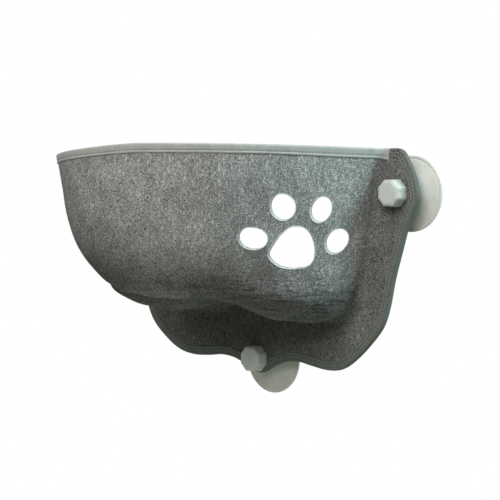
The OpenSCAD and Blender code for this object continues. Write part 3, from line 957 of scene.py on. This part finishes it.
def inside(points, loop):
    """Which points lie inside a closed loop, by crossings of a level line."""
    x, z = points[:, 0][:, None], points[:, 1][:, None]
    x1, z1 = loop[:, 0][None], loop[:, 1][None]
    x2, z2 = np.roll(loop[:, 0], -1)[None], np.roll(loop[:, 1], -1)[None]
    spans = (z1 > z) != (z2 > z)
    with np.errstate(divide="ignore", invalid="ignore"):
        cross = x < (x2 - x1) * (z - z1) / (z2 - z1) + x1
    return (spans & cross).sum(1) % 2 == 1


flange = make_felt_flange()
dress(flange, "pod", "felt", "felt_flange")


# Binding tapes

# Height of the tape over the felt, by the distance from its folded edge
RIM_TAPE_SHAPE = [(1.6, 0.95), (2.6, 0.98), (3.8, 0.95), (4.8, 0.88), (5.6, 0.72), (6.0, 0.52),
                  (6.4, 0.52), (6.8, 0.85), (7.3, 1.12), (8.0, 1.22), (8.7, 1.08), (9.2, 0.7),
                  (9.5, 0.15), (9.5, -0.4)]
HEM_TAPE_SHAPE = [(0.9, 0.95), (1.8, 0.8), (2.8, 0.72), (3.5, 0.85), (4.2, 1.0), (4.9, 0.85),
                  (5.7, 0.7), (6.5, 0.55), (7.1, 0.62), (7.7, 1.05), (8.3, 1.15), (8.9, 0.95),
                  (9.4, 0.5), (9.6, 0.1), (9.6, -0.4)]


# A tape goes round the felt's edge at these angles, this far outside the felt's faces
FOLD_ANGLES = [math.radians(t) for t in np.linspace(12, 168, 11)]
FOLD_LIFT = 0.95


def pucker(run, depth):
    """Uneven pull of the stitches along a tape."""
    return (np.sin(run * 0.9) * 0.35 + np.sin(run * 0.37 + 1.3) * 0.5
            + np.sin(run * 0.143 + 0.4) * 0.6) * depth


def make_rim_tape():
    shape = np.array(RIM_TAPE_SHAPE)
    below = shape[:, 0]
    drop = np.concatenate([[0.0], below / (RIM_Z - BASE_Z)])
    reach = (1 - drop ** SECTION_DOWN) ** (1 / SECTION_OUT)
    points, normals = bowl_grid(reach, drop, plan_angles(300), BEND_STEPS, soften=False)
    top, rows, n_top = points[0], points[1:], normals[0]
    row_normals = normals[1:]
    wave = pucker(lengths_along(top), 0.12)
    sections = []
    for k in range(len(shape) - 1, -1, -1):
        lift = shape[k, 1] + (wave * smooth(shape[k, 1] / 0.5))
        sections.append(rows[k] + row_normals[k] * lift[:, None])
    half = FELT_T / 2
    wide = half + FOLD_LIFT
    for a in FOLD_ANGLES:
        sections.append(top + n_top * (wide * math.cos(a) - half)
                        + np.array([0, 0, -0.9 + 1.9 * math.sin(a)]))
    for k in range(len(shape)):
        lift = shape[k, 1] * 0.9 + wave * 0.8 * smooth(shape[k, 1] / 0.5)
        sections.append(rows[k] - row_normals[k] * (FELT_T + lift)[:, None])
    return sweep("rim_tape", np.stack(sections, 1), [RIM_TAPE]), rows, row_normals


# Rings at each end of the hem tape that show felt and no tape, at the top of the ears
EAR_FELT = 11


def sweep(name, sections, materials, crease=60, felt_ends=0):
    """Closed tube of rings, its ends shut; the first and last rings may be felt."""
    count, sides = sections.shape[:2]
    points = sections.reshape(-1, 3)
    faces = grid_faces(count, sides, False, True)
    middle_a, middle_b = len(points), len(points) + 1
    points = np.concatenate([points, [sections[0].mean(0)], [sections[-1].mean(0)]])
    last = (count - 1) * sides
    for s in range(sides):
        s2 = (s + 1) % sides
        faces.append((middle_a, s2, s))
        faces.append((middle_b, last + s, last + s2))
    slots = [int(felt_ends and (min(f) // sides < felt_ends
                                or min(f) // sides >= count - 1 - felt_ends)) for f in faces]
    piece = finish_mesh(name, points, faces, materials, crease, slots)
    clean(piece, gap=1e-7, crease=crease)
    brush(piece, plain(FLANGE_SHADE_LEVEL), plain(0.0))
    return piece


rim_tape, rim_rows, rim_row_normals = make_rim_tape()
dress(rim_tape, "pod", "binding", "rim_binding")


def hem_frame(path):
    """Outward normals of the hem in the plane of the flange, down at its middle."""
    tangent = unit(np.gradient(path, axis=0))
    for _ in range(3):
        smoothed = tangent.copy()
        smoothed[1:-1] = (tangent[:-2] + 2 * tangent[1:-1] + tangent[2:]) / 4
        tangent = unit(smoothed)
    out = np.stack([tangent[:, 1], -tangent[:, 0]], -1)
    return out if out[len(out) // 2, 1] <= 0 else -out


def make_hem_tape():
    out = hem_frame(HEM)
    wave = pucker(np.arange(len(HEM)) * HEM_STEP, 0.14)
    shape = np.array(HEM_TAPE_SHAPE)
    sections = []
    ripple = flange_ripple(HEM[:, 0], HEM[:, 1])

    def hem_line(inset, y):
        p = HEM - out * inset
        return np.stack([p[:, 0], y, p[:, 1]], -1)

    for inset, lift in shape[::-1]:
        sections.append(hem_line(inset, -FELT_FRONT - ripple - lift
                                 - wave * smooth(lift / 0.5)))
    half = FELT_T / 2
    for a in FOLD_ANGLES:
        sections.append(hem_line(0.8 - 1.8 * math.sin(a),
                                 -FELT_BACK - half - ripple * 0.8
                                 - (half + FOLD_LIFT) * math.cos(a)))
    for inset, lift in shape:
        sections.append(hem_line(inset, -FELT_BACK - ripple * BACK_RIPPLE + lift * 0.9
                                 + wave * 0.6 * smooth(lift / 0.5)))
    return sweep("flange_hem_tape", np.stack(sections, 1), [HEM_TAPE, FELT],
                 felt_ends=EAR_FELT), out, ripple, wave


hem_tape, hem_out, hem_ripple, hem_wave = make_hem_tape()
dress(hem_tape, "pod", "binding", "flange_edging")


# Stitches
def stitch_tree():
    """Short thread stitches laid along a path, at an even pitch."""
    tree, given, labels = new_maker(
        "stitch rows",
        [("Pitch", 0.0034), ("Stitch Length", 0.0024), ("Thread Radius", 0.0004),
         ("Slant", 0.12)],
        [("Seed", "NodeSocketInt"), ("Thread", "NodeSocketMaterial")])
    line = add(tree, "GeometryNodeMeshToCurve", {"Mesh": given["Geometry"]})
    spots = add(tree, "GeometryNodeResampleCurve", {"Curve": line.outputs[0],
                                                   "Length": given["Pitch"]}, mode="LENGTH")
    tangent = add(tree, "GeometryNodeInputTangent").outputs[0]
    turn = add(tree, "FunctionNodeAlignRotationToVector", {"Vector": tangent}, axis="X")
    slant = add(tree, "FunctionNodeRandomValue", {
        2: maths(tree, "MULTIPLY", given["Slant"], -1.0), 3: given["Slant"],
        "Seed": given["Seed"]},
        data_type="FLOAT")
    twist = add(tree, "ShaderNodeCombineXYZ", {"Y": slant.outputs[1]}).outputs[0]
    spin = add(tree, "FunctionNodeEulerToRotation", {0: twist}).outputs[0]
    turned = add(tree, "FunctionNodeRotateRotation", {0: turn.outputs[0], 1: spin},
                 rotation_space="LOCAL").outputs[0]
    thread = add(tree, "GeometryNodeMeshUVSphere", {"Segments": 8, "Rings": 6, "Radius": 1.0})
    size = add(tree, "ShaderNodeCombineXYZ", {
        "X": maths(tree, "MULTIPLY", given["Stitch Length"], 0.5),
        "Y": given["Thread Radius"], "Z": given["Thread Radius"]}).outputs[0]
    laid = add(tree, "GeometryNodeInstanceOnPoints", {
        "Points": spots.outputs[0], "Instance": thread.outputs[0], "Rotation": turned,
        "Scale": size})
    real = add(tree, "GeometryNodeRealizeInstances", {0: laid.outputs[0]})
    shaded = add(tree, "GeometryNodeSetShadeSmooth", {0: real.outputs[0]})
    paint_and_leave(tree, shaded.outputs[0], given["Thread"])
    return tree, labels


STITCHES, STITCH_INPUTS = stitch_tree()


def stitch_rows(name, paths, thread, **sizes):
    """Stitches along open paths, made a plain mesh."""
    points, edges = [], []
    for path in paths:
        start = len(points)
        points += [tuple(p) for p in np.asarray(path) * MM]
        edges += [(start + i, start + i + 1) for i in range(len(path) - 1)]
    mesh = bpy.data.meshes.new(name)
    mesh.from_pydata(points, edges, [])
    row = bpy.data.objects.new(name, mesh)
    bpy.context.collection.objects.link(row)
    maker = row.modifiers.new("stitches", "NODES")
    maker.node_group = STITCHES
    maker[STITCH_INPUTS["Thread"]] = thread
    for label, value in sizes.items():
        maker[STITCH_INPUTS[label.replace("_", " ")]] = value
    made_plain(row, maker)
    return row


def rim_row(depth, lift, outside=True):
    """Path on the rim tape at a depth below the fold."""
    depths = np.array([d for d, _ in RIM_TAPE_SHAPE])
    k = int(np.argmin(np.abs(depths - depth)))
    way = 1 if outside else -1
    back = 0 if outside else FELT_T
    return (rim_rows[k] + way * rim_row_normals[k] * lift - rim_row_normals[k] * back
            + [0, 0, depths[k] - depth])[2:-2]


rim_stitches = stitch_rows("rim_stitching", [rim_row(6.2, 0.55), rim_row(6.2, 0.45, False)],
                           SHADE_DARK_THREAD, Pitch=0.0042, Stitch_Length=0.003,
                           Thread_Radius=0.00042, Slant=0.1, Seed=3)
dress(rim_stitches, "pod", "binding")


def hem_row(inset, lift, front=True):
    """Path on the hem tape at an inset from the felt's edge, on its front or back."""
    p = HEM - hem_out * inset
    y = (-FELT_FRONT - hem_ripple - hem_wave - lift if front
         else -FELT_BACK - hem_ripple * BACK_RIPPLE + hem_wave * 0.6 + lift)
    return np.stack([p[:, 0], y, p[:, 1]], -1)[4:-4]


hem_stitches = stitch_rows("flange_stitching",
                           [hem_row(8.2, 1.1), hem_row(4.2, 0.95), hem_row(8.2, 1.0, False)],
                           PALE_THREAD, Pitch=0.0042, Stitch_Length=0.0032,
                           Thread_Radius=0.0004, Slant=0.08, Seed=5)
dress(hem_stitches, "pod", "binding")


# Cups, studs, washers
def at_spot(points, spot):
    """Moves points drawn as x, height above the glass, z to a stud's axis."""
    x, z = SPOTS[spot]
    p = np.asarray(points, float)
    return np.stack([p[:, 0] + x, -p[:, 1], p[:, 2] + z], -1)


def round_angles(steps):
    return np.linspace(0, 2 * math.pi, steps, endpoint=False)


def ring(radius, height, angles):
    return np.stack([radius * np.cos(angles), np.full(len(angles), height),
                     radius * np.sin(angles)], -1)


def capped(rings, low, high):
    """Closed solid of rings along the axis, with a middle point at each end."""
    steps = len(rings[0])
    points = np.concatenate(rings + [[[0, low, 0]], [[0, high, 0]]])
    faces = grid_faces(len(rings), steps, False, True)
    foot, tip, last = len(points) - 2, len(points) - 1, (len(rings) - 1) * steps
    for s in range(steps):
        s2 = (s + 1) % steps
        faces += [(foot, s2, s), (tip, last + s, last + s2)]
    return points, faces


def revolve(profile, steps):
    """Closed solid of revolution from a profile of radius and height that starts and ends
    on the axis."""
    profile = np.asarray(profile, float)
    angles = round_angles(steps)
    return capped([ring(r, h, angles) for r, h in profile[1:-1]], profile[0][1], profile[-1][1])


def rounded(points, radius, steps=5):
    """A profile with its inner corners rounded."""
    p = [np.array(q, float) for q in points]
    out = [p[0]]
    for k in range(1, len(p) - 1):
        r = radius[k] if isinstance(radius, dict) and k in radius else (
            0 if isinstance(radius, dict) else radius)
        if not r:
            out.append(p[k])
            continue
        a, b = unit(p[k - 1] - p[k]), unit(p[k + 1] - p[k])
        room = min(r, 0.45 * np.linalg.norm(p[k - 1] - p[k]), 0.45 * np.linalg.norm(p[k + 1] - p[k]))
        start, end = p[k] + a * room, p[k] + b * room
        for t in np.linspace(0, 1, steps):
            out.append((1 - t) ** 2 * start + 2 * t * (1 - t) * p[k] + t * t * end)
    out.append(p[-1])
    return out


def cup_profile():
    """Hollow face, sealing lip, rounded edge, ring line, dome and neck."""
    hollow = [(0, 3.4), (20, 3.4), (31, 3.3), (32.5, 2.2), (33.5, 1.75), (37.2, 1.7), (37.6, 0.6),
              (38.2, 0.05), (41.6, 0.0), (42.4, 0.5), (42.5, 1.2), (42.1, 1.95)]
    dome = []
    rise = (CUP_H - 3.5) * 0.55
    for k in range(1, 65):
        t = k / 64
        r = 42.2 + (CUP_NECK_R - 42.2) * t
        h = 2.0 + rise * math.sin(math.pi / 2 * t) ** 2
        ring = 0.5 * math.exp(-((r - 40.3) / 0.7) ** 2) - 0.5 * math.exp(-((r - 38.6) / 0.6) ** 2)
        dome.append((r, h + ring))
    neck = rounded([dome[-1], (CUP_NECK_R, CUP_H), (5.2, CUP_H), (5.2, 9.0)], {1: 1.0, 2: 0.3})
    return hollow + dome[:-1] + [tuple(p) for p in neck] + [(0, 9.0)]


def make_cup(spot):
    points, faces = revolve(cup_profile(), 128)
    piece = finish_mesh("cup_" + spot, at_spot(points, spot), faces, [CUP_VINYL])
    clean(piece)
    return dress(piece, "pod", "cup_rubber", "suction_cup_" + spot)


def make_stud(spot):
    """Headed stud with a real helical thread inside the stud's diameter."""
    lead, depth, steps = 2.5, 0.8, 48
    foot = STUD_FOOT + 0.05
    start, end = 12.4, STUD_TIP - 0.4
    rows_per_turn = 12
    rows = int((end - start) / lead * rows_per_turn)
    angles = round_angles(steps)
    head = rounded([(0, foot), (7.9, foot), (7.9, 10.95), (STUD_R, 10.95), (STUD_R, 12.3)],
                   {1: 0.4, 2: 0.4})[1:]
    rings = [ring(r, h, angles) for r, h in head]
    for k in range(rows + 1):
        h = start + (end - start) * k / rows
        phase = (h / lead - angles / (2 * math.pi)) % 1.0
        tooth = np.clip(1.25 - 2.5 * np.abs(phase - 0.5), 0, 1)
        fade = smooth((h - start) / 2.0) * smooth((end - h) / 0.8)
        taper = 0.5 * (1 - smooth((end - h) / 1.2))
        rings.append(ring(STUD_R - depth * (1 - tooth) * fade - taper, h, angles))
    points, faces = capped(rings, foot, STUD_TIP)
    piece = finish_mesh("stud_" + spot + "_threaded", at_spot(points, spot), faces, [STUD_PLASTIC])
    clean(piece)
    return dress(piece, "pod", "stud_plastic", "stud_" + spot)


def make_washer(spot):
    low, high = FELT_FRONT + 0.02, KNOB_BACK - 0.02
    bore = STUD_R + 0.25
    loop = rounded([(bore, (low + high) / 2), (bore, low), (WASHER_R, low), (WASHER_R, high),
                    (bore, high), (bore, (low + high) / 2)], 0.35)[:-1]
    angles = round_angles(96)
    points = np.concatenate([ring(r, h, angles) for r, h in loop])
    faces = grid_faces(len(loop), len(angles), True, True)
    piece = finish_mesh("washer_" + spot + "_moulded", at_spot(points, spot), faces,
                        [WASHER_PLASTIC])
    clean(piece)
    return dress(piece, spot + "_washer", "washer_plastic", "washer_" + spot)


# Knobs
def knob_tree():
    """Presses flutes into a turned knob: a turned blank in, a lobed grip out."""
    tree, given, labels = new_maker(
        "knob flutes", [("Flute Depth", 0.0013), ("Grip Radius", 0.015)],
        [("Lobes", "NodeSocketInt"), ("Plastic", "NodeSocketMaterial")])
    place = add(tree, "GeometryNodeInputPosition").outputs[0]
    parts = add(tree, "ShaderNodeSeparateXYZ", {0: place}).outputs
    angle = maths(tree, "ARCTAN2", parts["Z"], parts["X"])
    wave = maths(tree, "COSINE", maths(tree, "ADD", math.pi,
                                       maths(tree, "MULTIPLY", angle, given["Lobes"])))
    flute = maths(tree, "SUBTRACT", 0.5, maths(tree, "MULTIPLY", wave, 0.5))
    flute = maths(tree, "POWER", flute, 0.75)
    radial = add(tree, "ShaderNodeCombineXYZ", {"X": parts["X"], "Z": parts["Z"]}).outputs[0]
    reach = add(tree, "ShaderNodeVectorMath", {0: radial}, operation="LENGTH").outputs["Value"]
    share = maths(tree, "DIVIDE", reach, given["Grip Radius"])
    bite = ramp(tree, share, 0.55, 0.97)
    depth = maths(tree, "MULTIPLY", maths(tree, "MULTIPLY", flute, bite),
                  maths(tree, "MULTIPLY", given["Flute Depth"], -1.0))
    way = add(tree, "ShaderNodeVectorMath", {0: radial}, operation="NORMALIZE").outputs[0]
    push = add(tree, "ShaderNodeVectorMath", {0: way, "Scale": depth}, operation="SCALE").outputs[0]
    moved = add(tree, "GeometryNodeSetPosition", {"Geometry": given["Geometry"], "Offset": push})
    real = add(tree, "GeometryNodeRealizeInstances", {0: moved.outputs[0]})
    paint_and_leave(tree, real.outputs[0], given["Plastic"])
    return tree, labels


KNOB_FLUTES, KNOB_INPUTS = knob_tree()


def make_knob(spot):
    top = KNOB_H
    bore, deep = STUD_R + 0.05, 10.8
    skirt = 1.045 * KNOB_R
    outer = rounded([(0, top), (0.78 * KNOB_R, top), (0.99 * KNOB_R, top - 1.5), (skirt, 0.5),
                     (0.94 * KNOB_R, 0.0), (0.62 * KNOB_R, 0.0), (bore, 0.0), (bore, deep),
                     (0, deep)], {1: 1.6, 2: 1.5, 3: 0.5, 4: 0.3, 6: 0.3})
    profile = []
    for a, b in zip(outer[:-1], outer[1:]):
        steps = max(1, int(np.linalg.norm(np.array(b) - np.array(a)) / 1.1))
        profile += [np.array(a) + (np.array(b) - np.array(a)) * k / steps for k in range(steps)]
    profile.append(np.array(outer[-1]))
    points, faces = revolve(profile, 192)
    blank = finish_mesh("knob_blank_" + spot, points, faces, [KNOB_PLASTIC])
    clean(blank)
    maker = blank.modifiers.new("flutes", "NODES")
    maker.node_group = KNOB_FLUTES
    maker[KNOB_INPUTS["Lobes"]] = KNOB_LOBES
    maker[KNOB_INPUTS["Flute Depth"]] = 1.15 * MM
    maker[KNOB_INPUTS["Grip Radius"]] = KNOB_R * MM
    maker[KNOB_INPUTS["Plastic"]] = KNOB_PLASTIC
    made_plain(blank, maker)
    made = blank.data
    turned = np.zeros(len(made.vertices) * 3)
    made.vertices.foreach_get("co", turned)
    turned = turned.reshape(-1, 3) / MM
    turned[:, 1] += KNOB_BACK + 0.02
    made.vertices.foreach_set("co", (at_spot(turned, spot) * MM).ravel())
    blank.name = made.name = "knob_" + spot + "_fluted"
    clean(blank)
    return dress(blank, spot + "_knob", "knob_plastic", "knob_" + spot)


for spot in SPOTS:
    make_cup(spot)
    make_stud(spot)
    make_washer(spot)
    make_knob(spot)


# Room, lamps, camera
def stage_material(name, tone, white_far):
    """Pale floor that keeps a soft shadow near the object and is white beyond it."""
    material = bpy.data.materials.new(name)
    material.use_nodes = True
    tree = material.node_tree
    shader = tree.nodes["Principled BSDF"]
    shader.inputs["Roughness"].default_value = 0.9
    place = add(tree, "ShaderNodeTexCoord").outputs["Object"]
    soft = add(tree, "ShaderNodeTexNoise", {"Vector": place, "Scale": 3.0}).outputs["Fac"]
    tree.links.new(mixed(tree, ramp(tree, soft, 0.3, 0.7), tone, tuple(c * 0.97 for c in tone)),
                   shader.inputs["Base Color"])
    glow = add(tree, "ShaderNodeEmission", {"Color": (1, 1, 1, 1), "Strength": 1.0})
    far = add(tree, "ShaderNodeVectorMath", {0: place}, operation="LENGTH").outputs["Value"]
    share = ramp(tree, far, white_far * 0.45, white_far, 0.55, 1.0)
    shown = add(tree, "ShaderNodeMixShader", {0: share, 1: shader.outputs[0],
                                              2: glow.outputs[0]}).outputs[0]
    quiet = add(tree, "ShaderNodeBsdfDiffuse", {"Color": (0.22, 0.22, 0.185, 1)}).outputs[0]
    blend = add(tree, "ShaderNodeMixShader", {0: looked_at(tree), 1: quiet, 2: shown})
    tree.links.new(blend.outputs[0], tree.nodes["Material Output"].inputs["Surface"])
    return material


FLOOR_Z, FLOOR_HALF = -400.0, 9000.0
corners = [(x * FLOOR_HALF, y * FLOOR_HALF, FLOOR_Z) for x, y in ((-1, -1), (1, -1), (1, 1), (-1, 1))]
floor = finish_mesh("studio_floor", corners, [(0, 1, 2, 3)],
                    [stage_material("pale studio floor", srgb(226, 227, 226), 1.5)])

world = bpy.data.worlds.new("white studio")
bpy.context.scene.world = world
world.use_nodes = True
sky = world.node_tree
sky.nodes.clear()
level = add(sky, "ShaderNodeMapRange", {"Value": looked_at(sky), "To Min": 0.06,
                                        "To Max": 1.0}).outputs[0]
back = add(sky, "ShaderNodeBackground", {"Color": (1, 1, 1, 1), "Strength": level})
sky.links.new(back.outputs[0], add(sky, "ShaderNodeOutputWorld").inputs["Surface"])


LAMP_AIM = Vector((0, -0.12, 0.12))


def lamp(name, azimuth, elevation, away, size, watts, colour):
    """Soft square lamp aimed at the bowl; azimuth 0 stands in front, 90 on the right."""
    data = bpy.data.lights.new(name, "AREA")
    data.size, data.energy, data.color = size, watts, colour
    lit = bpy.data.objects.new(name, data)
    bpy.context.collection.objects.link(lit)
    a, e = math.radians(azimuth), math.radians(elevation)
    way = Vector((math.sin(a) * math.cos(e), -math.cos(a) * math.cos(e), math.sin(e)))
    lit.location = LAMP_AIM + way * away
    lit.rotation_euler = way.to_track_quat("Z", "Y").to_euler()


LAMP_LEVEL = 77.4  # watts that light a white card facing the lamp as white
lamp("soft_front", 30, 35, 2.8, 2.0, 0.86 * LAMP_LEVEL, (1.0, 0.972, 0.988))
lamp("left_fill", -15, 35, 2.8, 1.3, 0.14 * LAMP_LEVEL, (0.96, 1.0, 0.93))
lamp("cool_right", 122, 35, 2.8, 1.3, 0.95 * LAMP_LEVEL, (0.67, 0.97, 1.0))
lamp("back_light", 228, 38, 2.8, 1.6, 0.42 * LAMP_LEVEL, (1.0, 1.0, 1.0))
lamp("warm_back", 172, 30, 2.8, 1.6, 0.32 * LAMP_LEVEL, (1.0, 0.83, 0.8))

scene = bpy.context.scene
scene.view_settings.view_transform = "Standard"
eye = bpy.data.cameras.new("photo_view")
SENSOR_W, LENS = 36.0, 122.4
EYE_PLACE = Vector((1388, -1472, 179)) * MM
eye.sensor_width, eye.lens = SENSOR_W, LENS
eye.clip_start, eye.clip_end = 0.05, 60.0
camera = bpy.data.objects.new("photo_view", eye)
bpy.context.collection.objects.link(camera)
AZIMUTH, ELEVATION, ROLL = (math.radians(v) for v in (44.17, 1.47, 0.60))
behind = Vector((math.sin(AZIMUTH) * math.cos(ELEVATION), -math.cos(AZIMUTH) * math.cos(ELEVATION),
                 math.sin(ELEVATION)))
across = Vector((math.cos(AZIMUTH), math.sin(AZIMUTH), 0))
upward = behind.cross(across)
rolled_x = math.cos(ROLL) * across + math.sin(ROLL) * upward
rolled_y = -math.sin(ROLL) * across + math.cos(ROLL) * upward
turn = Matrix((rolled_x, rolled_y, behind)).transposed().to_4x4()
camera.matrix_world = Matrix.Translation(EYE_PLACE) @ turn
scene.camera = camera
